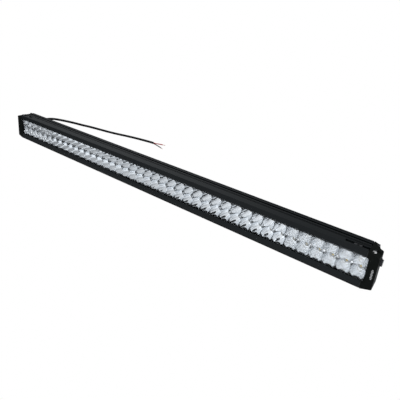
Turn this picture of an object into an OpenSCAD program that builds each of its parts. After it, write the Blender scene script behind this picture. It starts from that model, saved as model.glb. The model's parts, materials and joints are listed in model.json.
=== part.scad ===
// Double-row LED light bar: one aluminium extrusion, a clear front lens, chrome reflector
// modules over LED boards, a cast cap at each end and a two-core supply cable.
// X runs along the bar, the lens faces -Y and Z is up. The bar rests on its underside at z = 0.

/* [Lamp face] */
// Number of reflector modules along the bar
modules = 7; // [3:1:8]
// Number of LED columns in one module
module_columns = 6; // [6:1:6]
// Distance between LED columns
column_pitch = 26; // [25:0.5:30]
// Distance between the two LED rows
row_pitch = 24; // [23.6:0.1:24]
// Bottom edge of the window in the bezel
window_bottom = 13.8; // [13.5:0.1:14]
// Top edge of the window in the bezel
window_top = 61.2; // [61:0.1:61.5]
// Sloped bevel round the window, measured on the face
bevel = 4.9; // [3:0.1:5]

/* [Housing] */
// Height of the housing
height = 76.4; // [76:0.1:80]
// Depth of the housing from the bezel to the fin tips
depth = 45; // [45:1:46]
// Thickness of the heat sink fins
fin_thickness = 1.8; // [1.4:0.1:2.4]
// Width of the opening of the mounting slots in the top
slot_opening = 7.6; // [7.4:0.1:8]
// Length of the mounting slot at each end of the housing
slot_length = 42; // [38:1:60]

/* [End caps] */
// Width of one end cap along the bar
cap_width = 20; // [18:1:24]
// Drop of the cap's top edge towards its outer end
cap_top_drop = 5; // [3:0.5:6]
// Rise of the cap's bottom edge towards its outer end
cap_bottom_rise = 6; // [3:0.5:6]

/* [Cable] */
// Diameter of the cable's jacket
cable_diameter = 7.6; // [5:0.1:8]
// Diameter of one insulated core
core_diameter = 3.2; // [2:0.1:3.4]
// Diameter of the bare copper strands
copper_diameter = 1.6; // [1:0.1:2]

/* [Hidden] */
SIDES = ["left", "right"];
MODULE_NUMBERS = [for (i = [1 : modules]) i];
$fn = 48;
eps = 0.01;

// Layers behind the bezel's front face, each a distance back from it
lip_back = 4;
lens_front = 5;
lens_back = 8;
reflector_front = 8.6;
reflector_back = 30.6;
board_front = 32.2;
board_thickness = 1.6;
pad_thickness = 0.4;
base_front = board_front + board_thickness + pad_thickness;
base_back = base_front + 4;
channel_back = 43;
channel_outside = channel_back + 2;

// Lamp face
columns = modules * module_columns;
window_half = columns * column_pitch / 2;
module_length = module_columns * column_pitch;
face_middle = (window_bottom + window_top) / 2;
window_corner = 3;
chamber_bottom = 10.4;
chamber_top = 64.6;
lens_bottom = chamber_bottom + 0.3;
lens_top = chamber_top - 0.3;
lens_half = window_half + 3;
reflector_gap = 0.2;
reflector_deck = reflector_front + 7.2;
cup_wall = 0.6;
cup_gap = 0.3;

// Radii along one cup from its rim to its floor, and four focal lengths of its parabola
CUP_RADII = [14, 12.2, 10.3, 8.4, 6.4, 4.5];
cup_curve = 8;

// Housing
housing_half = window_half - 4;
gasket_thickness = 1;
cap_start = housing_half + gasket_thickness;
cap_end = cap_start + cap_width;
wall_bottom = 8;
wall_top = height - 8;
channel_low = 48;
channel_wall = 2;
slot_middle = 11.5;
slot_floor = 69.6;
slot_neck = 73.4;
slot_width = 12;
groove_middle = 31.2;
groove_width = 5.8;
groove_lip = 1.3;
groove_inner_width = 9.4;
groove_depth = 6;
port_radius = 1.7;
PORTS = [[19.5, height - 6], [19.5, 5], [40.5, height - 4.4], [40.5, 4.2]];

// End cap
cap_block_depth = 33;
cap_step = 8.5;
cap_pocket_end = cap_start + 13;
cap_pocket_back = 19;
reflector_pocket_end = cap_start + 5;
head_radius = 3.9;
side_bolt_back = 20;
side_bolt_height = 54;
clamp_middle = cap_start + 8.2;
clamp_head_height = 72.8;

// Cable entry in the back of the housing and the plug beside it
gland_x = -514;
gland_height = 58;
gland_radius = 6;
gland_seal_radius = 4.8;
gland_nut_start = channel_outside + 5;
gland_end = 59;
vent_x = -470;

// Route of the cable as [along, behind the bezel, height], straight out of the gland, down
// under its own weight and then along the surface that the bar stands on
CABLE_ROUTE = [
    [-514, 59, 58], [-514, 70, 58], [-512, 81, 58], [-505, 94, 57], [-493, 109, 54],
    [-475, 126, 50], [-459, 143, 45], [-446, 163, 38], [-433, 187, 30], [-418, 209, 22],
    [-402, 231, 14], [-386, 249, 8], [-364, 263, 4.8], [-334, 273, 4], [-301, 280, 4],
    [-272, 285, 4], [-242, 289, 4], [-228, 290, 4]
];
RED_ROUTE = [
    [-228, 291.8, 4], [-221, 295, 2.7], [-213, 300, 2], [-206, 303, 2], [-198, 305, 2]
];
RED_COPPER_ROUTE = [[-198, 305, 2], [-193, 306, 2], [-188, 306, 2]];
BLACK_ROUTE = [
    [-228, 288.2, 4], [-219, 287.6, 2.7], [-209, 286, 2], [-199, 283, 2], [-189, 280, 2],
    [-181, 277, 2]
];
BLACK_COPPER_ROUTE = [[-181, 277, 2], [-176, 275, 2], [-171, 273, 2]];

// Distance behind the bezel's front face, turned into a Y position
function back(d) = d - depth / 2;
function unit(v) = v / norm(v);
function placed(route) = [for (p = route) [p.x, back(p.y), p.z]];

// Points of a rounded corner, from one angle to another
function arc(centre, r, from, to, steps) =
    [for (i = [0 : steps]) let (a = from + (to - from) * i / steps) centre + r * [cos(a), sin(a)]];

// Travel direction of a route at point i
function heading(p, i) = unit(p[min(i + 1, len(p) - 1)] - p[max(i - 1, 0)]);

// Ring of points round a route at point i
function ring(p, i, r, n) =
    let (t = heading(p, i), side = unit(cross(t, [0, 0, 1])), up = cross(side, t))
    [for (k = [0 : n - 1]) p[i] + r * (cos(360 * k / n) * side + sin(360 * k / n) * up)];

// Extrudes a [Y, Z] outline along the bar
module along_bar(from, to) {
    translate([from, 0, 0]) rotate([90, 0, 90]) linear_extrude(to - from) children();
}

// Extrudes an [X, Z] outline from one distance behind the bezel to another
module front_to_back(from, to) {
    translate([0, back(to), 0]) rotate([90, 0, 0]) linear_extrude(to - from) children();
}

// Box given by its range along the bar, behind the bezel and in height
module slab(x, d, z) {
    translate([x[0], back(d[0]), z[0]]) cube([x[1] - x[0], d[1] - d[0], z[1] - z[0]]);
}

// Cylinder along the bar, towards the back, or upwards
module rod_x(x, d, z, r) {
    translate([x[0], back(d), z]) rotate([0, 90, 0]) cylinder(h = x[1] - x[0], r = r);
}
module rod_y(x, d, z, r) {
    translate([x, back(d[0]), z]) rotate([-90, 0, 0]) cylinder(h = d[1] - d[0], r = r);
}
module rod_z(x, d, z, r) {
    translate([x, back(d), z[0]]) cylinder(h = z[1] - z[0], r = r);
}

// Hexagonal prism whose axis runs along +X from the origin
module hex_x(length, across_flats) {
    rotate([0, 90, 0]) cylinder(h = length, r = across_flats / 2 / cos(30), $fn = 6);
}

// Rectangle given by two opposite corners in [depth behind bezel, height]
module patch(a, b) {
    translate([back(a[0]), a[1]]) square([b[0] - a[0], b[1] - a[1]]);
}

// Round tube swept along a route
module swept(route, r, n = 8) {
    p = placed(route);
    last = len(p) - 1;
    points = [for (i = [0 : last]) each ring(p, i, r, n)];
    walls = [
        for (i = [0 : last - 1], k = [0 : n - 1])
            let (m = (k + 1) % n) each [
                [i * n + k, i * n + m, (i + 1) * n + m],
                [i * n + k, (i + 1) * n + m, (i + 1) * n + k]
            ]
    ];
    ends = [[for (k = [n - 1 : -1 : 0]) k], [for (k = [0 : n - 1]) last * n + k]];
    polyhedron(points, concat(walls, ends), convexity = 4);
}

// Mirrors a part of the right end to the left end
module at_end(side) {
    if (side == "left") mirror([1, 0, 0]) children();
    else children();
}

// Cross-section of the extrusion in [Y, Z]
module housing_profile() {
    difference() {
        union() {
            patch([0, 0], [base_front, chamber_bottom]);
            patch([0, chamber_top], [base_front, height]);
            patch([0, 0], [lip_back, window_bottom]);
            patch([0, window_top], [lip_back, height]);
            patch([lens_back + 0.1, chamber_bottom - eps], [lens_back + 1.4, chamber_bottom + 1.6]);
            patch([lens_back + 0.1, chamber_top - 1.6], [lens_back + 1.4, chamber_top + eps]);
            patch([base_front, 0], [base_back, height]);
            patch([base_back - eps, 0], [depth, wall_bottom]);
            patch([base_back - eps, wall_top], [depth, height]);
            driver_channel_profile();
            fins_profile();
        }
        bezel_bevel_profile();
        top_grooves_profile();
        for (p = PORTS) translate([back(p[0]), p[1]]) circle(r = port_radius);
        translate([back(depth), height]) rotate(45) square(0.8, center = true);
        translate([back(0), height]) rotate(45) square(1.2, center = true);
        translate([back(0), 0]) rotate(45) square(1.2, center = true);
    }
}

module bezel_bevel_profile() {
    polygon([
        [back(-eps), window_bottom - bevel], [back(lip_back), window_bottom],
        [back(lip_back), window_bottom + 1], [back(-eps), window_bottom + 1]
    ]);
    polygon([
        [back(-eps), window_top + bevel], [back(lip_back), window_top],
        [back(lip_back), window_top - 1], [back(-eps), window_top - 1]
    ]);
}

// T-slot that a sliding nut runs in, milled from one end of the housing
module slot(side) {
    at_end(side) along_bar(housing_half - slot_length, housing_half + 1) {
        patch([slot_middle - slot_width / 2, slot_floor], [slot_middle + slot_width / 2, slot_neck]);
        patch(
            [slot_middle - slot_opening / 2, slot_floor],
            [slot_middle + slot_opening / 2, height + 1]
        );
    }
}

// Fine grooves and the deep undercut groove along the top
module top_grooves_profile() {
    for (d = [18.6 : 2.2 : 23.1]) patch([d, height - 0.8], [d + 1.1, height + 1]);
    patch(
        [groove_middle - groove_width / 2, height - groove_depth],
        [groove_middle + groove_width / 2, height + 1]
    );
    patch(
        [groove_middle - groove_inner_width / 2, height - groove_depth],
        [groove_middle + groove_inner_width / 2, height - groove_lip]
    );
    for (d = [37.4, 40.6]) patch([d, height - 0.9], [d + 1, height + 1]);
}

// Closed channel for the driver boards behind the base plate
module driver_channel_profile() {
    difference() {
        patch([base_back - eps, channel_low - channel_wall], [channel_outside, wall_top + eps]);
        patch([base_back, channel_low], [channel_back, wall_top]);
    }
}

module fins_profile() {
    for (z = [12.4 : 4.8 : 42]) patch([base_back - eps, z], [depth, z + fin_thickness]);
}

module housing() {
    color([0.13, 0.14, 0.15]) difference() {
        along_bar(-housing_half, housing_half) housing_profile();
        for (side = SIDES) slot(side);
        // Holes for the cable gland and for the vent plug with its sunk flange
        rod_y(gland_x, [channel_back - 1, depth + 1], gland_height, gland_radius + 0.2);
        rod_y(vent_x, [channel_back - 1, depth + 1], gland_height, 5.2);
        rod_y(vent_x, [channel_outside - 1, depth + 1], gland_height, 7.3);
        // Holes in the base plate for the board screws and for the driver leads
        for (x = board_screw_places()) rod_y(x, [base_front - 1, base_back - 1], face_middle, 1.25);
        for (x = [-150, 150]) rod_y(x, [base_front - 1, base_back + 1], channel_low + 5, 3);
    }
}

module lens() {
    color([0.9, 0.95, 1, 0.3])
        slab([-lens_half, lens_half], [lens_front, lens_back], [lens_bottom, lens_top]);
}

// Frame-shaped seal between the bezel and the lens
module lens_gasket() {
    color([0.05, 0.05, 0.05]) difference() {
        slab(
            [-lens_half, lens_half], [lip_back, lens_front], [lens_bottom + 0.1, lens_top - 0.1]
        );
        slab(
            [-window_half - 0.4, window_half + 0.4], [lip_back - 1, lens_front + 1],
            [window_bottom - 0.4, window_top + 0.4]
        );
    }
}

function module_middle(i) = (i - (modules + 1) / 2) * module_length;
function column_place(i, c) = module_middle(i) + (c - (module_columns - 1) / 2) * column_pitch;

// Board screws stand on the column borders, one pitch in from each end of a board
function board_screw_places() = [
    for (i = MODULE_NUMBERS, s = [-1, 1])
        module_middle(i) + s * (module_length / 2 - column_pitch)
];

// Distance behind the reflector's front at which a cup has the given radius
function cup_depth(r) = (pow(CUP_RADII[0], 2) - pow(r, 2)) / cup_curve;

// Hollow of one deep parabolic cup, opening towards -Y
module cup_hollow(x, z) {
    floor_depth = cup_depth(CUP_RADII[len(CUP_RADII) - 1]);
    translate([x, back(reflector_front), z]) rotate([-90, 0, 0])
        rotate_extrude($fn = 32) polygon(concat(
            [[0, -1], [CUP_RADII[0], -1]],
            [for (r = CUP_RADII) [r, cup_depth(r)]],
            [[CUP_RADII[len(CUP_RADII) - 1], floor_depth + 1], [0, floor_depth + 1]]
        ));
}

// One cup in its rectangular cell: a thin scalloped crown in front of a solid block
module cup_cell(x, z, from, to) {
    half_height = row_pitch / 2;
    difference() {
        union() {
            slab([from, to], [reflector_deck, reflector_back], [z - half_height, z + half_height]);
            intersection() {
                rod_y(x, [reflector_front, reflector_deck + eps], z, CUP_RADII[0] + cup_wall);
                slab(
                    [x - column_pitch / 2 + cup_gap, x + column_pitch / 2 - cup_gap],
                    [reflector_front, reflector_deck + eps],
                    [z - half_height + cup_gap, z + half_height - cup_gap]
                );
            }
        }
        cup_hollow(x, z);
    }
}

// One chrome module of two rows of cups, on four feet that stand on the LED board
module reflector(i) {
    half = module_length / 2 - reflector_gap;
    middle = module_middle(i);
    color([0.85, 0.87, 0.9]) union() {
        for (c = [0 : module_columns - 1], t = [-1, 1]) {
            x = column_place(i, c);
            cup_cell(
                x, face_middle + t * row_pitch / 2,
                max(x - column_pitch / 2, middle - half), min(x + column_pitch / 2, middle + half)
            );
        }
        for (s = [-1, 1], t = [-1, 1])
            slab(
                [middle + s * (half - 2) - 2, middle + s * (half - 2) + 2],
                [reflector_back - eps, board_front],
                [face_middle + t * (row_pitch - 2) - 2, face_middle + t * (row_pitch - 2) + 2]
            );
    }
}

module led_board(i) {
    half = module_length / 2 - reflector_gap;
    color([0.93, 0.93, 0.9]) difference() {
        slab(
            [module_middle(i) - half, module_middle(i) + half],
            [board_front, board_front + board_thickness],
            [chamber_bottom + 1.6, chamber_top - 1.6]
        );
        for (x = board_screw_places())
            rod_y(x, [board_front - 1, base_front], face_middle, 1.7);
        for (x = [-150, 150]) rod_y(x, [board_front - 1, base_front], channel_low + 5, 3);
    }
}

// One LED package with its phosphor dot, for every cup
module led_emitters() {
    color([0.95, 0.85, 0.3])
        for (i = MODULE_NUMBERS, c = [0 : module_columns - 1], t = [-1, 1]) {
            x = column_place(i, c);
            z = face_middle + t * row_pitch / 2;
            slab([x - 1.75, x + 1.75], [board_front - 0.9, board_front], [z - 1.75, z + 1.75]);
            rod_y(x, [board_front - 1.8, board_front - 0.8], z, 1.4);
        }
}

module thermal_pad() {
    color([0.6, 0.65, 0.7]) difference() {
        slab(
            [-window_half + 6, window_half - 6], [base_front - pad_thickness, base_front],
            [chamber_bottom + 2, chamber_top - 2]
        );
        for (x = board_screw_places()) rod_y(x, [board_front, base_front + 1], face_middle, 1.7);
        for (x = [-150, 150]) rod_y(x, [board_front, base_front + 1], channel_low + 5, 3);
    }
}

module board_screws() {
    color([0.7, 0.7, 0.72])
        for (x = board_screw_places()) difference() {
            union() {
                rod_y(x, [board_front - 1.4, board_front], face_middle, 2.7);
                rod_y(x, [board_front - eps, base_back - 1.2], face_middle, 1.25);
            }
            translate([x, back(board_front - 1.5), face_middle]) rotate([-90, 0, 0])
                cylinder(h = 1, r = 1.2, $fn = 6);
        }
}

// Bridging headers that join one LED board to the next
module board_links() {
    color([0.92, 0.9, 0.85])
        for (i = [1 : modules - 1]) {
            x = module_middle(i) + module_length / 2;
            slab([x - 4, x + 4], [board_front - 1.4, board_front], [face_middle - 3, face_middle + 3]);
        }
}

// Outline of the right cap seen from the front, in [X, Z]
module cap_front_outline() {
    polygon(concat(
        [[cap_start, 0]],
        arc([cap_end - 2.5, cap_bottom_rise + 2], 2.5, -75, 0, 4),
        arc([cap_end - 2.4, height - cap_top_drop - 2.7], 2.4, 0, 74, 5),
        [[cap_start, height]]
    ));
}

// Outline of the right cap seen from above, in [X, Y]
module cap_plan_outline() {
    inner = cap_end - cap_step;
    polygon(concat(
        [[cap_start, back(0)], [cap_end, back(0)]],
        arc([cap_end - 2.5, back(cap_block_depth - 2.5)], 2.5, 0, 90, 4),
        [[inner + 3, back(cap_block_depth)], [inner, back(cap_block_depth + 3)]],
        arc([inner - 2, back(depth - 2)], 2, 0, 90, 3),
        [[cap_start, back(depth)]]
    ));
}

// Bevelled end of the window, which turns the corners inside the cap
module cap_window() {
    low = window_bottom + window_corner;
    high = window_top - window_corner;
    flare = window_corner + bevel;
    for (z = [low, high])
        translate([cap_start, back(0), z]) rotate([-90, 0, 0])
            cylinder(h = lip_back, r1 = flare, r2 = window_corner);
    slab([cap_start - 1, cap_start + window_corner], [-1, lip_back + 1], [low, high]);
    front_to_back(-1, lip_back + 1)
        polygon([
            [cap_start - 1, window_bottom], [cap_start, window_bottom],
            [cap_start, window_top], [cap_start - 1, window_top]
        ]);
    translate([0, 0, low]) linear_extrude(high - low)
        polygon([
            [cap_start - 1, back(0)], [cap_start + flare, back(0)],
            [cap_start + window_corner, back(lip_back)], [cap_start - 1, back(lip_back)]
        ]);
    for (z = [low, high]) rod_y(cap_start, [-1, lip_back + 1], z, window_corner);
}

// Cast cap, deeper in front than at the back, with a stepped and bevelled outer side
module end_cap(side) {
    color([0.11, 0.11, 0.12]) at_end(side) difference() {
        intersection() {
            front_to_back(0, depth) cap_front_outline();
            translate([0, 0, -1]) linear_extrude(height + 2) cap_plan_outline();
        }
        cap_window();
        // Pockets that take the ends of the lens, the reflector, the board and the driver channel
        slab(
            [cap_start - 1, cap_pocket_end], [lip_back, cap_pocket_back],
            [chamber_bottom, chamber_top]
        );
        slab(
            [cap_start - 1, reflector_pocket_end], [lip_back, base_front - 0.2],
            [chamber_bottom, chamber_top]
        );
        slab(
            [cap_start - 1, cap_start + 6], [base_back, channel_back], [channel_low, wall_top - 2]
        );
        // Counterbored holes for the four cap screws
        for (p = PORTS) {
            rod_x([cap_start - 1, cap_end + 1], p[0], p[1], 2.1);
            rod_x([cap_start + 7, cap_end + 1], p[0], p[1], head_radius + 0.3);
        }
        // Threaded hole in the side for the mounting bolt
        rod_x([cap_pocket_end - 1, cap_end + 1], side_bolt_back, side_bolt_height, 4);
        // Seat and hole in the top for the screw that pulls the lens clamp
        rod_z(clamp_middle, slot_middle, [chamber_top - 1, height], 2.6);
        rod_z(clamp_middle, slot_middle, [clamp_head_height, height + 1], 4.2);
        if (side == "right")
            slab([badge_x()[0], badge_x()[1]], [-1, 0.6], [badge_z()[0], badge_z()[1]]);
    }
}

function badge_x() = [cap_end - 9.4, cap_end - 2.2];
function badge_z() = [24.4, 48];

// Printed name plate with no lettering, set flush in the right cap
module cap_badge() {
    color([0.9, 0.9, 0.9])
        slab(
            [badge_x()[0] + 0.1, badge_x()[1] - 0.1], [0.1, 0.6],
            [badge_z()[0] + 0.1, badge_z()[1] - 0.1]
        );
}

module end_cap_gasket(side) {
    color([0.05, 0.05, 0.05]) at_end(side) difference() {
        along_bar(housing_half, cap_start) difference() {
            patch([0.8, 0.8], [channel_outside - 1, height - 1.2]);
            patch([-1, chamber_bottom], [base_front, chamber_top]);
            patch([base_back, channel_low], [channel_back, wall_top]);
            patch([slot_middle - 7, slot_floor - 1], [slot_middle + 7, height]);
            patch(
                [groove_middle - groove_inner_width / 2 - 0.8, height - groove_depth - 0.8],
                [groove_middle + groove_inner_width / 2 + 0.8, height]
            );
        }
        for (p = PORTS) rod_x([housing_half - 1, cap_start + 1], p[0], p[1], 2.4);
    }
}

module end_cap_screws(side) {
    color([0.16, 0.16, 0.17]) at_end(side)
        for (p = PORTS) difference() {
            union() {
                rod_x([cap_start + 7, cap_start + 10.4], p[0], p[1], head_radius);
                rod_x([housing_half - 12, cap_start + 7 + eps], p[0], p[1], port_radius);
            }
            translate([cap_start + 8.2, back(p[0]), p[1]]) hex_x(4, 3);
        }
}

// Block behind the lens end, pulled up against it by the screw in the cap's top
module lens_clamp(side) {
    color([0.4, 0.4, 0.42]) at_end(side) difference() {
        slab(
            [clamp_middle - 3.6, clamp_middle + 3.6], [lens_back + 0.1, lens_back + 7],
            [chamber_top - 18, chamber_top - 0.2]
        );
        rod_z(clamp_middle, slot_middle, [chamber_top - 12, chamber_top + 1], 2.5);
    }
}

module lens_clamp_screw(side) {
    color([0.75, 0.75, 0.77]) at_end(side) difference() {
        union() {
            rod_z(clamp_middle, slot_middle, [clamp_head_height, clamp_head_height + 0.9], 3.6);
            rod_z(clamp_middle, slot_middle, [clamp_head_height, clamp_head_height + 1.9], 3);
            rod_z(clamp_middle, slot_middle, [chamber_top - 11, clamp_head_height + eps], 2.5);
        }
        rod_z(clamp_middle, slot_middle, [clamp_head_height + 0.7, clamp_head_height + 3], 1.2);
    }
}

// Mounting bolt in the outer face of a cap
module side_bolt(side) {
    start = cap_end + 1.4;
    color([0.1, 0.1, 0.11]) at_end(side) union() {
        translate([start, back(side_bolt_back), side_bolt_height]) hex_x(2.6, 13);
        rod_x([cap_pocket_end, start + eps], side_bolt_back, side_bolt_height, 4);
    }
}

module side_washer(side) {
    color([0.14, 0.14, 0.15]) at_end(side) difference() {
        rod_x([cap_end, cap_end + 1.4], side_bolt_back, side_bolt_height, 8.4);
        rod_x([cap_end - 1, cap_end + 2], side_bolt_back, side_bolt_height, 4);
    }
}

slot_nut_place = housing_half - 19.5;
nut_half = 7;
nut_play = 0.3;

// Nut that slides in the top slot, with a threaded hole for a bracket's bolt
module slot_nut(side) {
    color([0.6, 0.6, 0.62]) at_end(side) difference() {
        union() {
            slab(
                [slot_nut_place - nut_half, slot_nut_place + nut_half],
                [slot_middle - slot_width / 2 + nut_play, slot_middle + slot_width / 2 - nut_play],
                [slot_floor + nut_play, slot_neck - nut_play]
            );
            slab(
                [slot_nut_place - nut_half, slot_nut_place + nut_half],
                [
                    slot_middle - slot_opening / 2 + nut_play,
                    slot_middle + slot_opening / 2 - nut_play
                ],
                [slot_floor + nut_play, height - 0.8]
            );
        }
        rod_z(slot_nut_place, slot_middle, [slot_floor - 1, height + 1], 2.5);
    }
}

// Driver board with its flat coils, capacitors and regulators
module driver_board(side) {
    board_back = base_back + 2;
    color([0.1, 0.35, 0.2]) at_end(side) union() {
        slab([210, 430], [base_back + 0.4, board_back], [channel_low + 0.3, wall_top - 0.3]);
        for (x = [275, 365]) rod_y(x, [board_back - eps, board_back + 2.4], 58, 7);
        for (x = [235, 248, 392]) rod_y(x, [board_back - eps, board_back + 2.2], 61, 4);
        for (x = [305, 325, 410]) slab([x, x + 10], [board_back - eps, board_back + 1.4], [52, 62]);
    }
}

// Supply leads in the channel, from the cable gland to both driver boards
module internal_leads() {
    color([0.7, 0.1, 0.1])
        for (z = [49.6, 51.8]) {
            rod_x([-505, -424], channel_back - 1.4, z, 0.9);
            rod_x([-216, 216], channel_back - 1.4, z, 0.9);
        }
}

// Pressure-equalising plug beside the gland, its flange sunk in the wall
module vent_plug() {
    color([0.08, 0.08, 0.08]) difference() {
        union() {
            rod_y(vent_x, [channel_back - 0.6, channel_outside - 1 + eps], gland_height, 5);
            rod_y(vent_x, [channel_outside - 1, channel_outside], gland_height, 7);
        }
        translate([vent_x, back(channel_outside - 1.4), gland_height]) rotate([0, 0, 90])
            hex_x(2, 5);
    }
}

module gland_body() {
    color([0.09, 0.09, 0.09]) difference() {
        union() {
            rod_y(gland_x, [channel_back - 2.5, channel_outside + eps], gland_height, gland_radius);
            translate([gland_x, back(channel_outside), gland_height]) rotate([0, 0, 90])
                hex_x(4.5, 16);
            rod_y(gland_x, [channel_outside + 4, channel_outside + 9], gland_height, gland_radius);
        }
        rod_y(gland_x, [channel_back - 4, channel_outside + 10], gland_height, gland_seal_radius);
    }
}

// Rubber sleeve squeezed round the cable
module gland_seal() {
    color([0.2, 0.2, 0.2]) difference() {
        rod_y(gland_x, [channel_outside + 3, channel_outside + 10], gland_height, gland_seal_radius);
        rod_y(gland_x, [channel_outside + 2, channel_outside + 11], gland_height, cable_diameter / 2);
    }
}

module gland_nut() {
    color([0.09, 0.09, 0.09]) difference() {
        union() {
            translate([gland_x, back(gland_nut_start), gland_height]) rotate([0, 0, 90])
                hex_x(6, 16);
            translate([gland_x, back(gland_nut_start + 6 - eps), gland_height])
                rotate([-90, 0, 0])
                    cylinder(h = gland_end - gland_nut_start - 6 + eps, r1 = 7.6, r2 = 5.4);
        }
        rod_y(gland_x, [gland_nut_start - 1, channel_outside + 10], gland_height, gland_radius);
        rod_y(gland_x, [channel_outside + 9, gland_end + 1], gland_height, cable_diameter / 2);
    }
}

module power_cable() {
    color([0.07, 0.07, 0.07]) swept(CABLE_ROUTE, cable_diameter / 2, 10);
}
module red_core() {
    color([0.7, 0.1, 0.08]) swept(RED_ROUTE, core_diameter / 2);
}
module black_core() {
    color([0.08, 0.08, 0.08]) swept(BLACK_ROUTE, core_diameter / 2);
}
module red_core_copper() {
    color([0.75, 0.45, 0.3]) swept(RED_COPPER_ROUTE, copper_diameter / 2);
}
module black_core_copper() {
    color([0.75, 0.45, 0.3]) swept(BLACK_COPPER_ROUTE, copper_diameter / 2);
}

housing();
lens();
lens_gasket();
led_emitters();
thermal_pad();
board_screws();
board_links();
for (i = MODULE_NUMBERS) {
    reflector(i);
    led_board(i);
}
for (side = SIDES) {
    end_cap(side);
    end_cap_gasket(side);
    end_cap_screws(side);
    lens_clamp(side);
    lens_clamp_screw(side);
    side_bolt(side);
    side_washer(side);
    slot_nut(side);
    driver_board(side);
}
cap_badge();
vent_plug();
internal_leads();
gland_body();
gland_seal();
gland_nut();
power_cable();
red_core();
black_core();
red_core_copper();
black_core_copper();
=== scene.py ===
import json
import math

import bpy
import bmesh
from mathutils import Matrix, Vector


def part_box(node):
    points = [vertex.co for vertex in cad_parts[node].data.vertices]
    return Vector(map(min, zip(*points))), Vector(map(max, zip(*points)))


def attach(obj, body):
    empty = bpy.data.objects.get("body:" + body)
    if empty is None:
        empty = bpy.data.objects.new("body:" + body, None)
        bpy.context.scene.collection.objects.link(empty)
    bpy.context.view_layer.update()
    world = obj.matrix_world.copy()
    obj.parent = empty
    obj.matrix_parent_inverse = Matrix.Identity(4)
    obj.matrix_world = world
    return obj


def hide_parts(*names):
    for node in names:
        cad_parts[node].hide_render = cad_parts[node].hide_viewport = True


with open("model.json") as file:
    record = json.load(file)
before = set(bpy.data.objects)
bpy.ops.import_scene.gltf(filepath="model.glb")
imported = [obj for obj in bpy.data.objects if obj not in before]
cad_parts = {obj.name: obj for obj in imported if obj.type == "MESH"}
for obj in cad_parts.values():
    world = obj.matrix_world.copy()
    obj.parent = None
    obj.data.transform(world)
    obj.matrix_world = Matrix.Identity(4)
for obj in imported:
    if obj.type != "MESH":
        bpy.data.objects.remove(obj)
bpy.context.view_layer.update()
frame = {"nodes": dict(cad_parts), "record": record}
NODES = frame["nodes"]
MM = 0.001
HALF_DEPTH = 22.5          # the bezel's front face lies this far in front of the origin


def at(x, d, z):
    """Point from millimetres: along the bar, behind the bezel's front face, height."""
    return Vector((x * MM, (d - HALF_DEPTH) * MM, z * MM))


# ---------------------------------------------------------------- camera
CAMERA_PLACE = (0.6251, -0.6728, 0.4350)
CAMERA_AZIMUTH = 34.9       # degrees to the right of the bar's front
CAMERA_ELEVATION = 19.2     # degrees of downward look
CAMERA_ROLL = 5.35          # degrees
LENS = 34.9                 # millimetres
SENSOR_WIDTH = 36           # millimetres
LENS_SHIFT = -0.1264        # upward, as a part of the picture's width


def make_camera():
    """Camera turned by azimuth and elevation, then rolled about its line of sight."""
    azimuth = math.radians(CAMERA_AZIMUTH)
    elevation = math.radians(CAMERA_ELEVATION)
    roll = math.radians(CAMERA_ROLL)
    forward = Vector((
        -math.sin(azimuth) * math.cos(elevation),
        math.cos(azimuth) * math.cos(elevation),
        -math.sin(elevation),
    ))
    right = Vector((math.cos(azimuth), math.sin(azimuth), 0))
    up = right.cross(forward)
    right_rolled = math.cos(roll) * right + math.sin(roll) * up
    up_rolled = -math.sin(roll) * right + math.cos(roll) * up
    data = bpy.data.cameras.new("camera")
    camera = bpy.data.objects.new("camera", data)
    bpy.context.scene.collection.objects.link(camera)
    turn = Matrix((right_rolled, up_rolled, -forward)).transposed().to_4x4()
    camera.matrix_world = Matrix.Translation(CAMERA_PLACE) @ turn
    data.sensor_width = SENSOR_WIDTH
    data.lens = LENS
    data.shift_y = LENS_SHIFT
    data.clip_start = 0.01
    data.clip_end = 100
    bpy.context.scene.camera = camera


make_camera()


# ---------------------------------------------------------------- materials
def principled(name, color, rough=0.5, metal=0.0, **extra):
    """Material with one Principled shader; extra inputs have _ for a space."""
    mat = bpy.data.materials.new(name)
    mat.use_nodes = True
    shader = mat.node_tree.nodes["Principled BSDF"]
    shader.inputs["Base Color"].default_value = (*color, 1)
    shader.inputs["Roughness"].default_value = rough
    shader.inputs["Metallic"].default_value = metal
    for key, value in extra.items():
        shader.inputs[key.replace("_", " ")].default_value = value
    return mat, mat.node_tree, shader


def coords(tree, scale):
    """The piece's own coordinates in metres, scaled."""
    source = tree.nodes.new("ShaderNodeTexCoord")
    mapping = tree.nodes.new("ShaderNodeMapping")
    mapping.inputs["Scale"].default_value = scale
    tree.links.new(source.outputs["Object"], mapping.inputs["Vector"])
    return mapping.outputs["Vector"]


def noise(tree, vector, scale, detail=3.0):
    """Soft noise from 0 to 1."""
    node = tree.nodes.new("ShaderNodeTexNoise")
    node.inputs["Scale"].default_value = scale
    node.inputs["Detail"].default_value = detail
    tree.links.new(vector, node.inputs["Vector"])
    return node.outputs["Fac"]


def spread(tree, value, low, high, start=0.0, end=1.0):
    """Maps start..end to low..high."""
    node = tree.nodes.new("ShaderNodeMapRange")
    node.inputs["From Min"].default_value = start
    node.inputs["From Max"].default_value = end
    node.inputs["To Min"].default_value = low
    node.inputs["To Max"].default_value = high
    tree.links.new(value, node.inputs["Value"])
    return node.outputs["Result"]


def calc(tree, operation, value, number, third=None):
    """Math node on a value and a number, and on a third value if the operation needs one."""
    node = tree.nodes.new("ShaderNodeMath")
    node.operation = operation
    node.inputs[1].default_value = number
    tree.links.new(value, node.inputs[0])
    if third is not None:
        tree.links.new(third, node.inputs[2])
    return node.outputs["Value"]


def bump(tree, shader, height, distance, strength):
    """Surface relief from a height; the distance is in metres."""
    node = tree.nodes.new("ShaderNodeBump")
    node.inputs["Strength"].default_value = strength
    node.inputs["Distance"].default_value = distance
    tree.links.new(height, node.inputs["Height"])
    tree.links.new(node.outputs["Normal"], shader.inputs["Normal"])


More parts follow.
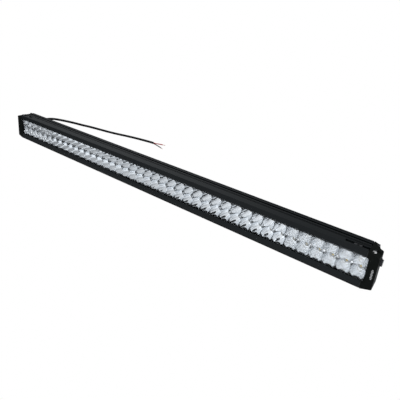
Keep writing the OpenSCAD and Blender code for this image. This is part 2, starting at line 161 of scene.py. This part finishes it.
def tint(tree, shader, value, dark, light):
    """Base colour between dark, where the value is 0, and light."""
    node = tree.nodes.new("ShaderNodeMix")
    node.data_type = "RGBA"
    node.inputs["A"].default_value = (*dark, 1)
    node.inputs["B"].default_value = (*light, 1)
    tree.links.new(value, node.inputs["Factor"])
    tree.links.new(node.outputs["Result"], shader.inputs["Base Color"])


def painted_crevice_shade(tree, distance, power, samples):
    """Mask of painted shade: 1 on open faces, falling towards 0 in corners and grooves narrower
    than the distance.
    """
    shade = tree.nodes.new("ShaderNodeAmbientOcclusion")
    shade.samples = samples
    shade.inputs["Distance"].default_value = distance
    return calc(tree, "POWER", shade.outputs["AO"], power)


ANODISED_DARK = (0.0080, 0.0097, 0.0108)
ANODISED_LIGHT = (0.0102, 0.0121, 0.0134)
ANODISED_GLOSS = 0.10
GROOVE_SHADE_REACH = 0.004        # metres; how far the painted groove shade reaches


def anodised():
    """Black anodised extrusion with faint die lines along the bar, and shade painted darker into
    its grooves.
    """
    mat, tree, shader = principled(
        "anodised_black", ANODISED_DARK, 0.4, 0.0, Specular_IOR_Level=ANODISED_GLOSS)
    lines = noise(tree, coords(tree, (3, 900, 900)), 1.0, 2.0)
    bump(tree, shader, lines, 0.00005, 0.35)
    mottle = noise(tree, coords(tree, (40, 40, 40)), 3.0)
    tree.links.new(spread(tree, mottle, 0.28, 0.38), shader.inputs["Roughness"])
    tint(tree, shader, mottle, ANODISED_DARK, ANODISED_LIGHT)
    # Painted shade: the colour and the gloss fall in the grooves
    paint_groove_shade(tree, shader)
    return mat


def paint_groove_shade(tree, shader):
    """Painted shade in narrow grooves: takes down both the colour and the gloss."""
    groove_shade = painted_crevice_shade(tree, GROOVE_SHADE_REACH, 2.0, 8)
    color = tree.nodes.new("ShaderNodeMix")
    color.data_type = "RGBA"
    color.blend_type = "MULTIPLY"
    color.inputs["Factor"].default_value = 1.0
    source = shader.inputs["Base Color"].links[0].from_socket
    tree.links.new(source, color.inputs["A"])
    tree.links.new(groove_shade, color.inputs["B"])
    tree.links.new(color.outputs["Result"], shader.inputs["Base Color"])
    gloss = spread(tree, groove_shade, 0.0, ANODISED_GLOSS)
    tree.links.new(gloss, shader.inputs["Specular IOR Level"])


def coated(name, color, rough, grain, depth, gloss=0.5):
    """Powder coat, moulded plastic or rubber with a fine grain."""
    mat, tree, shader = principled(name, color, rough, 0.0, Specular_IOR_Level=gloss)
    speck = noise(tree, coords(tree, (1, 1, 1)), grain)
    bump(tree, shader, speck, depth, 0.4)
    tree.links.new(spread(tree, speck, rough - 0.06, rough + 0.08), shader.inputs["Roughness"])
    light = tuple(min(1, c * 1.25) for c in color)
    tint(tree, shader, speck, color, light)
    return mat


LENS_ALPHA = 0.02           # seen straight on
LENS_EDGE_ALPHA = 0.9       # seen at a grazing angle


def clear_lens():
    """Clear plastic: see-through except for its reflection, which grows at grazing angles."""
    mat, tree, shader = principled("clear_lens", (0.9, 0.95, 1.0), 0.04, 1.0)
    weight = tree.nodes.new("ShaderNodeLayerWeight")
    weight.inputs["Blend"].default_value = 0.5
    grazing = calc(tree, "POWER", weight.outputs["Facing"], 5.0)
    alpha = spread(tree, grazing, LENS_ALPHA, LENS_EDGE_ALPHA)
    tree.links.new(alpha, shader.inputs["Alpha"])
    return mat


MIRROR = (0.84, 0.855, 0.87)
# Colour painted as shade into the cups' narrow corners
MIRROR_CORNER_SHADE = (0.03, 0.032, 0.035)
MIRROR_SHADE_REACH = 0.0016       # metres; how far the painted corner shade reaches


def mirror_coat(name, ripple_size, ripple_height, strength):
    """Vacuum-metallised plastic, rippled, with shade painted darker into its narrow corners."""
    mat, tree, shader = principled(name, MIRROR, 0.04, 1.0)
    ripple = noise(tree, coords(tree, (1, 1, 1)), 1 / ripple_size, 1.0)
    bump(tree, shader, ripple, ripple_height, strength)
    # Painted shade: the colour falls to the corner colour in narrow corners
    tint(tree, shader, painted_crevice_shade(tree, MIRROR_SHADE_REACH, 1.6, 4), MIRROR_CORNER_SHADE, MIRROR)
    return mat


def phosphor():
    """Yellow phosphor of an LED that is off."""
    mat, tree, shader = principled("phosphor", (0.88, 0.56, 0.01), 0.35, 0.0)
    speck = noise(tree, coords(tree, (1, 1, 1)), 2500)
    tint(tree, shader, speck, (0.85, 0.52, 0.005), (0.90, 0.62, 0.02))
    return mat


def board(name, color, track):
    """Solder mask with faint copper tracks under it."""
    mat, tree, shader = principled(name, color, 0.4, 0.0)
    cells = tree.nodes.new("ShaderNodeTexVoronoi")
    cells.distance = "MANHATTAN"
    cells.inputs["Scale"].default_value = 120
    tree.links.new(coords(tree, (1, 1, 1)), cells.inputs["Vector"])
    tracks = calc(tree, "GREATER_THAN", cells.outputs["Distance"], 0.45)
    tint(tree, shader, tracks, color, track)
    return mat


def metal_finish(name, color, rough, grain=(400, 400, 400)):
    """Bare or plated metal with a fine streak in its polish."""
    mat, tree, shader = principled(name, color, rough, 1.0)
    streak = noise(tree, coords(tree, grain), 1.0, 2.0)
    tree.links.new(spread(tree, streak, rough - 0.08, rough + 0.1), shader.inputs["Roughness"])
    bump(tree, shader, streak, 0.00003, 0.3)
    return mat


MATERIALS = {
    "black_aluminium": anodised(),
    "black_casting": coated("powder_coat", (0.0068, 0.0076, 0.0069), 0.55, 1800, 0.00006, 0.02),
    "plain_aluminium": metal_finish("plain_aluminium", (0.62, 0.62, 0.64), 0.35),
    "clear_lens": clear_lens(),
    "chrome_plated": mirror_coat("mirror_coat", 0.0038, 0.00025, 0.25),
    "led_phosphor": phosphor(),
    "white_board": board("white_board", (0.80, 0.80, 0.77), (0.72, 0.72, 0.69)),
    "green_board": board("green_board", (0.02, 0.13, 0.05), (0.03, 0.20, 0.08)),
    "grey_pad": coated("grey_pad", (0.33, 0.37, 0.40), 0.8, 900, 0.00005),
    "white_plastic": coated("white_plastic", (0.75, 0.74, 0.70), 0.45, 900, 0.00003),
    "white_print": coated("white_print", (0.50, 0.49, 0.49), 0.5, 1500, 0.00002),
    "black_rubber": coated("black_rubber", (0.010, 0.010, 0.010), 0.7, 900, 0.00008),
    "black_plastic": coated("black_plastic", (0.014, 0.014, 0.015), 0.42, 1400, 0.00006),
    "black_steel": metal_finish("black_steel", (0.035, 0.035, 0.038), 0.38),
    "dark_steel": metal_finish("dark_steel", (0.10, 0.10, 0.105), 0.4),
    "plain_steel": metal_finish("plain_steel", (0.60, 0.60, 0.62), 0.28),
    "stainless": metal_finish("stainless", (0.74, 0.73, 0.72), 0.22),
    "cable_jacket": coated("cable_jacket", (0.004, 0.004, 0.0045), 0.5, 700, 0.00005, 0.15),
    "red_insulation": coated("red_insulation", (0.42, 0.012, 0.010), 0.4, 900, 0.00003),
    "black_insulation": coated("black_insulation", (0.005, 0.005, 0.005), 0.5, 900, 0.00003, 0.2),
    "copper": metal_finish("copper", (0.72, 0.34, 0.20), 0.3, (300, 300, 3000)),
}

# The same coat with a stronger ripple, for the flood cups
FLOOD_COAT = mirror_coat("flood_mirror_coat", 0.0042, 0.0015, 1.0)

SLOT_OF = {entry["node"]: entry["material_slot"] for entry in frame["record"]["subparts"]}
for name, node in NODES.items():
    node.data.materials.clear()
    node.data.materials.append(MATERIALS[SLOT_OF[name]])


# ---------------------------------------------------------------- mesh helpers
def new_object(name, verts, faces, slot, body="lamp", smooth=None):
    """Mesh piece from points in metres, riding on a body."""
    mesh = bpy.data.meshes.new(name)
    mesh.from_pydata([tuple(v) for v in verts], [], faces)
    mesh.materials.append(MATERIALS[slot])
    build = bmesh.new()
    build.from_mesh(mesh)
    bmesh.ops.recalc_face_normals(build, faces=build.faces)
    build.to_mesh(mesh)
    build.free()
    if smooth is not None:
        mesh.polygons.foreach_set("use_smooth", [True] * len(mesh.polygons))
        mesh.set_sharp_from_angle(angle=math.radians(smooth))
    obj = bpy.data.objects.new(name, mesh)
    bpy.context.scene.collection.objects.link(obj)
    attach(obj, body)
    return obj


WELD_DISTANCE = 0.00001


def soften(obj, width_mm, segments=2, angle=30):
    """Rounds the sharp edges, as casting, extruding and coating leave them."""
    weld = obj.modifiers.new("weld", "WELD")
    weld.merge_threshold = WELD_DISTANCE
    bevel = obj.modifiers.new("bevel", "BEVEL")
    bevel.width = width_mm * MM
    bevel.segments = segments
    bevel.limit_method = "ANGLE"
    bevel.angle_limit = math.radians(angle)
    bevel.use_clamp_overlap = True


class Build:
    """Collects points and faces of one piece."""

    def __init__(self):
        self.verts = []
        self.faces = []

    def ring(self, points):
        """Adds points and gives their numbers."""
        start = len(self.verts)
        self.verts.extend(points)
        return list(range(start, start + len(points)))

    def bridge(self, a, b):
        """Band of faces between two closed rings of as many points."""
        count = len(a)
        for k in range(count):
            m = (k + 1) % count
            self.faces.append((a[k], a[m], b[m], b[k]))

    def cap(self, ring):
        """Closes a ring with one face."""
        self.faces.append(tuple(ring))

    def lathe(self, profile, centre, axis, steps):
        """Turns [(radius, distance along the axis), ...] in millimetres about an axis."""
        axis = Vector(axis).normalized()
        side = axis.orthogonal().normalized()
        other = axis.cross(side)
        last = None
        for radius, along in profile:
            ring = self.ring([
                centre + axis * along * MM
                + (side * math.cos(a) + other * math.sin(a)) * radius * MM
                for a in (2 * math.pi * k / steps for k in range(steps))
            ])
            if last is not None:
                self.bridge(last, ring)
            last = ring
        return last

    def box(self, low, high):
        """Box between two corner points."""
        (x0, y0, z0), (x1, y1, z1) = low, high
        v = self.ring([
            Vector(p) for p in (
                (x0, y0, z0), (x1, y0, z0), (x1, y1, z0), (x0, y1, z0),
                (x0, y0, z1), (x1, y0, z1), (x1, y1, z1), (x0, y1, z1),
            )
        ])
        sides = (
            (0, 3, 2, 1), (4, 5, 6, 7), (0, 1, 5, 4),
            (1, 2, 6, 5), (2, 3, 7, 6), (3, 0, 4, 7),
        )
        for side in sides:
            self.faces.append(tuple(v[i] for i in side))


# ---------------------------------------------------------------- cable
CABLE_POINTS = [
    (-0.514, 0.0365, 0.058), (-0.514, 0.0475, 0.058), (-0.512, 0.0585, 0.058),
    (-0.505, 0.0715, 0.057), (-0.493, 0.0865, 0.054), (-0.475, 0.1035, 0.050),
    (-0.459, 0.1205, 0.045), (-0.446, 0.1405, 0.038), (-0.433, 0.1645, 0.030),
    (-0.418, 0.1865, 0.022), (-0.402, 0.2085, 0.014), (-0.386, 0.2265, 0.008),
    (-0.364, 0.2405, 0.0048), (-0.334, 0.2505, 0.0040), (-0.301, 0.2575, 0.0040),
    (-0.272, 0.2625, 0.0040), (-0.242, 0.2665, 0.0040), (-0.228, 0.2675, 0.0040),
]
RED_POINTS = [
    (-0.230, 0.2692, 0.0040), (-0.221, 0.2725, 0.0027), (-0.213, 0.2775, 0.002),
    (-0.206, 0.2805, 0.002), (-0.198, 0.2825, 0.002),
]
BLACK_POINTS = [
    (-0.230, 0.2658, 0.0040), (-0.219, 0.2651, 0.0027), (-0.209, 0.2635, 0.002),
    (-0.199, 0.2605, 0.002), (-0.189, 0.2575, 0.002), (-0.181, 0.2545, 0.002),
]
RED_STRANDS = [(-0.199, 0.2823, 0.002), (-0.193, 0.2835, 0.002), (-0.188, 0.2835, 0.002)]
BLACK_STRANDS = [(-0.182, 0.2548, 0.002), (-0.176, 0.2525, 0.002), (-0.171, 0.2505, 0.002)]
CABLE_DIAMETER = 0.0076
CORE_DIAMETER = 0.0032


def smooth_line(points, steps=6):
    """Points of a Catmull-Rom curve through the given points."""
    p = [Vector(q) for q in points]
    p = [p[0] * 2 - p[1]] + p + [p[-1] * 2 - p[-2]]
    line = []
    for i in range(1, len(p) - 2):
        for k in range(steps):
            t = k / steps
            a, b, c, d = p[i - 1], p[i], p[i + 1], p[i + 2]
            line.append(0.5 * (
                2 * b + (c - a) * t + (2 * a - 5 * b + 4 * c - d) * t * t
                + (3 * b - a - 3 * c + d) * t ** 3
            ))
    line.append(p[-2])
    return line


def tube(name, points, diameter, slot, steps=6):
    """Round cable along a curve; gives the piece and its length."""
    data = bpy.data.curves.new(name, "CURVE")
    data.dimensions = "3D"
    data.bevel_depth = diameter / 2
    data.bevel_resolution = 6
    data.use_fill_caps = True
    line = smooth_line(points, steps)
    spline = data.splines.new("POLY")
    spline.points.add(len(line) - 1)
    for target, point in zip(spline.points, line):
        target.co = (*point, 1)
    data.materials.append(MATERIALS[slot])
    obj = bpy.data.objects.new(name, data)
    bpy.context.scene.collection.objects.link(obj)
    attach(obj, "lamp")
    length = sum((b - a).length for a, b in zip(line, line[1:]))
    return obj, length


jacket, jacket_length = tube("cable_jacket", CABLE_POINTS, CABLE_DIAMETER, "cable_jacket")
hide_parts("power_cable")
red, _ = tube("red_lead", RED_POINTS, CORE_DIAMETER, "red_insulation")
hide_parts("red_core")
black, _ = tube("black_lead", BLACK_POINTS, CORE_DIAMETER, "black_insulation")
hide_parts("black_core")


STRAND_RADIUS = 0.00028
STRAND_RING = 0.00052       # radius on which the outer strands lie
OUTER_STRANDS = 6
STRAND_TWIST = 0.45         # turn in radians from one point of the curve to the next


def strands(name, points, node):
    """Copper strands twisted about a middle one, as one curve piece."""
    line = smooth_line(points, 4)
    data = bpy.data.curves.new(name, "CURVE")
    data.dimensions = "3D"
    data.bevel_depth = STRAND_RADIUS
    data.bevel_resolution = 2
    data.use_fill_caps = True
    for s in range(OUTER_STRANDS + 1):
        spline = data.splines.new("POLY")
        spline.points.add(len(line) - 1)
        for k, (target, point) in enumerate(zip(spline.points, line)):
            ahead = line[min(k + 1, len(line) - 1)] - line[max(k - 1, 0)]
            side = ahead.cross(Vector((0, 0, 1))).normalized()
            up = side.cross(ahead).normalized()
            turn = 2 * math.pi * s / OUTER_STRANDS + STRAND_TWIST * k
            radius = 0 if s == OUTER_STRANDS else STRAND_RING
            target.co = (*(point + (side * math.cos(turn) + up * math.sin(turn)) * radius), 1)
    data.materials.append(MATERIALS["copper"])
    obj = bpy.data.objects.new(name, data)
    bpy.context.scene.collection.objects.link(obj)
    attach(obj, "lamp")
    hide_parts(node)
    return obj


red_strands = strands("red_strands", RED_STRANDS, "red_core_copper")
black_strands = strands("black_strands", BLACK_STRANDS, "black_core_copper")


# ---------------------------------------------------------------- reflectors and LEDs
# Millimetres, with depths counted from the bezel's front face
MODULES = 7
COLUMNS = 6                 # of cups in a module
PITCH = 26.0                # between columns
ROW = 24.0                  # between the two rows
MIDDLE = 37.5               # height of the border between the two rows
FRONT = 8.6                 # depth of the reflector's front
BOARD_FRONT = 32.2          # depth of the LED board's front
BASE_THICKNESS = 0.8        # of an LED's ceramic base
MODULE_BACK = 30.6          # depth of the reflector's back
MODULE_GAP = 0.4            # between the side walls of neighbouring modules
RIM_RADIUS = 14.0           # radius at which a cup reaches the reflector's front
FLOOR_RADIUS = 4.5          # of the hole for the LED
CURVE = 8.0                 # four focal lengths of the cup's parabola
RIM_WALL = 0.6              # width of the bright rim round a cup
CROWN_WALL = 7.0            # distance from the rim back to the deck between the spot cups
FLOOD_WALL = 4.0            # the same between the flood cups
DECK_CLEARANCE = 0.05       # of the deck behind the rim, where the rim lies deeper
CORNER = math.atan2(ROW, PITCH)     # angle of a cell's corner, in radians
FLOOD_SWELL = 0.3           # height of the pillow facets in the flood cups
FLOOD_ROWS = 7              # of facets from a flood cup's rim to its floor
FLOOD_FLUTES = 20           # facets round a flood cup
SPOT_STEPS = (16, 16)       # mesh steps from rim to floor, and on each side of a spot cup
FLOOD_STEPS = (30, 24)      # the same for a flood cup


def module_middle(i):
    """Place of a module's middle along the bar."""
    return (i - (MODULES + 1) / 2) * COLUMNS * PITCH


def cell_places():
    """Centre (x, z) of every cup, module by module."""
    for i in range(1, MODULES + 1):
        for c in range(COLUMNS):
            for row in (-0.5, 0.5):
                yield i, module_middle(i) + (c - (COLUMNS - 1) / 2) * PITCH, MIDDLE + row * ROW


def cell_angles(steps):
    """Angles round a cup, with one exactly at each corner of its cell."""
    corners = [-CORNER, CORNER, math.pi - CORNER, math.pi + CORNER, 2 * math.pi - CORNER]
    angles = []
    for start, end in zip(corners, corners[1:]):
        angles += [start + (end - start) * k / steps for k in range(steps)]
    return angles


def reach(angle, limit=math.inf):
    """Distance from the cup's axis to the cell's border, at most the limit."""
    c, s = abs(math.cos(angle)), abs(math.sin(angle))
    return min(PITCH / 2 / max(c, 1e-6), ROW / 2 / max(s, 1e-6), limit)


def cup_depth(radius):
    """How far a cup's wall lies behind the reflector's front."""
    return (RIM_RADIUS ** 2 - min(radius, RIM_RADIUS) ** 2) / CURVE


def cup(build, x0, z0, flood):
    """Deep parabolic cup, cut off by its neighbours, with a deck at its cell's corners."""
    rings, side_steps = FLOOD_STEPS if flood else SPOT_STEPS
    angles = cell_angles(side_steps)

    def around(radii, depths):
        return build.ring([
            at(x0 + r * math.cos(a), d, z0 + r * math.sin(a))
            for a, r, d in zip(angles, radii, depths)
        ])

    edge = [reach(a, RIM_RADIUS) for a in angles]
    last = None
    for k in range(rings + 1):
        t = k / rings
        radii = [r + (FLOOR_RADIUS - r) * t for r in edge]
        depths = [FRONT + cup_depth(r) for r in radii]
        if flood and 0 < k < rings:
            ripple = FLOOD_SWELL * abs(math.sin(math.pi * FLOOD_ROWS * t))
            radii = [
                r - ripple * abs(math.cos(FLOOD_FLUTES / 2 * a))
                for r, a in zip(radii, angles)
            ]
        ring = around(radii, depths)
        if last is None:
            first = ring
        else:
            build.bridge(last, ring)
        last = ring
    floor = [FLOOR_RADIUS] * len(angles)
    build.bridge(last, around(floor, [BOARD_FRONT - BASE_THICKNESS] * len(angles)))
    outer = [reach(a, RIM_RADIUS + RIM_WALL) for a in angles]
    rim_depth = [FRONT + cup_depth(r) for r in outer]
    rim = around(outer, rim_depth)
    wall = FLOOD_WALL if flood else CROWN_WALL
    deck_depth = [max(FRONT + wall, d + DECK_CLEARANCE) for d in rim_depth]
    skirt = around(outer, deck_depth)
    deck = around([reach(a) for a in angles], deck_depth)
    build.bridge(rim, first)
    build.bridge(skirt, rim)
    build.bridge(deck, skirt)


def reflector_module(i):
    """Moulding with 6 x 2 cups, open at the back; the two end modules are flood modules."""
    build = Build()
    flood = i in (1, MODULES)
    for module, x0, z0 in cell_places():
        if module == i:
            cup(build, x0, z0, flood)
    half = COLUMNS * PITCH / 2 - MODULE_GAP / 2
    rim = [(-half, -ROW), (half, -ROW), (half, ROW), (-half, ROW)]
    middle = module_middle(i)
    wall = FLOOD_WALL if flood else CROWN_WALL
    front = build.ring([at(middle + x, FRONT + wall, MIDDLE + z) for x, z in rim])
    back = build.ring([at(middle + x, MODULE_BACK, MIDDLE + z) for x, z in rim])
    build.bridge(front, back)
    name = "flood_reflector" if flood else "spot_reflector"
    obj = new_object(f"{name}_{i}", build.verts, build.faces, "chrome_plated", smooth=40)
    if flood:
        obj.data.materials[0] = FLOOD_COAT
    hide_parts(f"reflector_{i}")


for i in range(1, MODULES + 1):
    reflector_module(i)


# Millimetres
BASE_HALF = 1.75            # half the side of an LED's ceramic base
CHIP_HALF = 1.3             # half the side of its phosphor square
CHIP_THICKNESS = 0.2
# A dome's radius and its distance from the base
DOME_PROFILE = [(1.6, 0), (1.57, 0.3), (1.4, 0.75), (1.05, 1.15), (0.55, 1.4), (0.05, 1.48)]


def led_packages():
    """Ceramic bases with a phosphor square, under clear domes."""
    bases, chips, domes = Build(), Build(), Build()
    top = BOARD_FRONT - BASE_THICKNESS
    for _, x0, z0 in cell_places():
        bases.box(
            at(x0 - BASE_HALF, top, z0 - BASE_HALF),
            at(x0 + BASE_HALF, BOARD_FRONT, z0 + BASE_HALF),
        )
        chips.box(
            at(x0 - CHIP_HALF, top - CHIP_THICKNESS, z0 - CHIP_HALF),
            at(x0 + CHIP_HALF, top, z0 + CHIP_HALF),
        )
        last = domes.lathe(DOME_PROFILE, at(x0, top, z0), (0, -1, 0), 16)
        domes.cap(last)
    new_object("led_bases", bases.verts, bases.faces, "white_board")
    chip = new_object("led_chips", chips.verts, chips.faces, "led_phosphor")
    new_object("led_domes", domes.verts, domes.faces, "clear_lens", smooth=60)
    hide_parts("led_emitters")


led_packages()


# ---------------------------------------------------------------- printed mark
BADGE_BARS = 7
# Metres
BADGE_MARGIN = 0.0015       # above and below the bars
PRINT_THICKNESS = 0.00015   # of the bars in front of the plate
PRINT_DEPTH = 0.0002        # how far the bars reach back, into the plate
LONG_BAR_INSET = 0.0012
SHORT_BAR_INSET = 0.0020
RIGHT_EXTRA_INSET = 0.0006  # added at the bars' right end


def badge():
    """Plain upright mark of white bars on a black plate; it says nothing."""
    low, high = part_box("cap_badge")
    plate = Build()
    plate.box(Vector((low.x, low.y + PRINT_THICKNESS, low.z)), high)
    base = new_object("badge_plate", plate.verts, plate.faces, "black_casting")
    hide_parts("cap_badge")
    bars = Build()
    step = (high.z - low.z - 2 * BADGE_MARGIN) / BADGE_BARS
    for k in range(BADGE_BARS):
        z = low.z + BADGE_MARGIN + k * step
        inset = LONG_BAR_INSET if k % 2 else SHORT_BAR_INSET
        right = high.x - inset - RIGHT_EXTRA_INSET
        bars.box(
            Vector((low.x + inset, low.y, z)),
            Vector((right, low.y + PRINT_DEPTH, z + step / 2)),
        )
    new_object("badge_mark", bars.verts, bars.faces, "white_print")


badge()


# ---------------------------------------------------------------- edges of the CAD pieces
# Rounding in millimetres, and its segments
ROUNDING = {
    "housing": (0.35, 2),
    "gland_nut": (0.4, 2),
    "gland_body": (0.4, 2),
    "vent_plug": (0.3, 2),
}
for side in ("left", "right"):
    ROUNDING[f"end_cap_{side}"] = (0.6, 3)
    ROUNDING[f"side_bolt_{side}"] = (0.3, 2)
    ROUNDING[f"side_washer_{side}"] = (0.25, 2)
    ROUNDING[f"lens_clamp_screw_{side}"] = (0.3, 2)
    ROUNDING[f"slot_nut_{side}"] = (0.25, 2)
for name, (width, segments) in ROUNDING.items():
    soften(NODES[name], width, segments)


# ---------------------------------------------------------------- floor and light
ROOM_COLOR = (0.93, 0.965, 1.0, 1)
FLOOR_COLOR = (0.95, 0.975, 1.0, 1)
FLOOR_DARK_X = -0.85        # metres; left of it the floor's reflection is dark
FLOOR_BRIGHT_X = 0.6        # right of it the reflection has its full strength
FLOOR_STRENGTH = 1.3
# Direction of most light, cosine at which it is dark, and full strength
DIFFUSE_ROOM = ((0.3, -0.85, 0.35), -0.85, 1.2)
GLOSSY_ROOM = ((0.7, -0.7, 0.2), -0.74, 1.65)
# Brighter area behind the bar, which its top reflects: direction, sharpness, brightness
TOP_REFLECTION = ((-0.6, 0.72, 0.36), 9.0, 0.66)


def by_ray(tree, diffuse, glossy, output):
    """White for the camera, one surface for glossy reflections, another for all other light."""
    light_path = tree.nodes.new("ShaderNodeLightPath")
    on_mesh = output.type == "OUTPUT_MATERIAL"
    white = tree.nodes.new("ShaderNodeEmission" if on_mesh else "ShaderNodeBackground")
    white.inputs["Color"].default_value = (1, 1, 1, 1)
    white.inputs["Strength"].default_value = 1.0
    result = diffuse
    for flag, surface in (("Is Glossy Ray", glossy), ("Is Camera Ray", white.outputs[0])):
        mix = tree.nodes.new("ShaderNodeMixShader")
        tree.links.new(light_path.outputs[flag], mix.inputs["Fac"])
        tree.links.new(result, mix.inputs[1])
        tree.links.new(surface, mix.inputs[2])
        result = mix.outputs[0]
    tree.links.new(result, output.inputs["Surface"])


def facing(tree, direction):
    """Cosine of the angle between a world ray and a direction."""
    way = tree.nodes.new("ShaderNodeTexCoord")
    dot = tree.nodes.new("ShaderNodeVectorMath")
    dot.operation = "DOT_PRODUCT"
    dot.inputs[1].default_value = Vector(direction).normalized()
    tree.links.new(way.outputs["Generated"], dot.inputs[0])
    return dot.outputs["Value"]


def room_glow(tree, direction, dark_at, high, lobe=None):
    """Soft world light that grows towards a direction from none where the cosine is dark_at.

    The lobe is an optional brighter area: its direction, sharpness and brightness.
    """
    glow = tree.nodes.new("ShaderNodeBackground")
    glow.inputs["Color"].default_value = ROOM_COLOR
    strength = spread(tree, facing(tree, direction), 0.0, high, dark_at, 1.0)
    if lobe:
        lobe_direction, sharpness, brightness = lobe
        ahead = calc(tree, "MAXIMUM", facing(tree, lobe_direction), 0.0)
        narrow = calc(tree, "POWER", ahead, sharpness)
        strength = calc(tree, "MULTIPLY_ADD", narrow, brightness, strength)
    tree.links.new(strength, glow.inputs["Strength"])
    return glow.outputs["Background"]


def floor_glow(tree):
    """What glossy surfaces see of the floor: dark at the left, bright at the right."""
    glow = tree.nodes.new("ShaderNodeEmission")
    glow.inputs["Color"].default_value = FLOOR_COLOR
    place = tree.nodes.new("ShaderNodeSeparateXYZ")
    way = tree.nodes.new("ShaderNodeTexCoord")
    tree.links.new(way.outputs["Object"], place.inputs["Vector"])
    strength = spread(
        tree, place.outputs["X"], 0.0, FLOOR_STRENGTH, FLOOR_DARK_X, FLOOR_BRIGHT_X)
    tree.links.new(strength, glow.inputs["Strength"])
    return glow.outputs["Emission"]


def softbox(name, place, target, width, height, watts):
    """Area light that lights the pieces but isn't seen in their gloss."""
    data = bpy.data.lights.new(name, "AREA")
    data.shape = "RECTANGLE"
    data.size = width
    data.size_y = height
    data.energy = watts
    obj = bpy.data.objects.new(name, data)
    bpy.context.scene.collection.objects.link(obj)
    obj.location = place
    obj.visible_glossy = False
    direction = Vector(target) - Vector(place)
    obj.rotation_euler = direction.to_track_quat("-Z", "Y").to_euler()


def studio():
    """Floor, a graded room and one softbox above; the camera sees floor and room white."""
    plane = bpy.data.meshes.new("floor")
    plane.from_pydata([(-6, -6, 0), (6, -6, 0), (6, 8, 0), (-6, 8, 0)], [], [(0, 1, 2, 3)])
    floor = bpy.data.objects.new("floor", plane)
    bpy.context.scene.collection.objects.link(floor)
    mat, tree, shader = principled("floor_white", (0.6, 0.6, 0.6), 0.9)
    by_ray(tree, shader.outputs["BSDF"], floor_glow(tree), tree.nodes["Material Output"])
    plane.materials.append(mat)
    world = bpy.data.worlds.new("studio")
    bpy.context.scene.world = world
    world.use_nodes = True
    tree = world.node_tree
    diffuse = room_glow(tree, *DIFFUSE_ROOM)
    glossy = room_glow(tree, *GLOSSY_ROOM, TOP_REFLECTION)
    by_ray(tree, diffuse, glossy, tree.nodes["World Output"])
    softbox(
        "softbox_top", place=(0.2, -0.9, 1.9), target=(0, 0, 0), width=2.6, height=1.2, watts=5)


studio()
bpy.context.scene.view_settings.view_transform = "Standard"
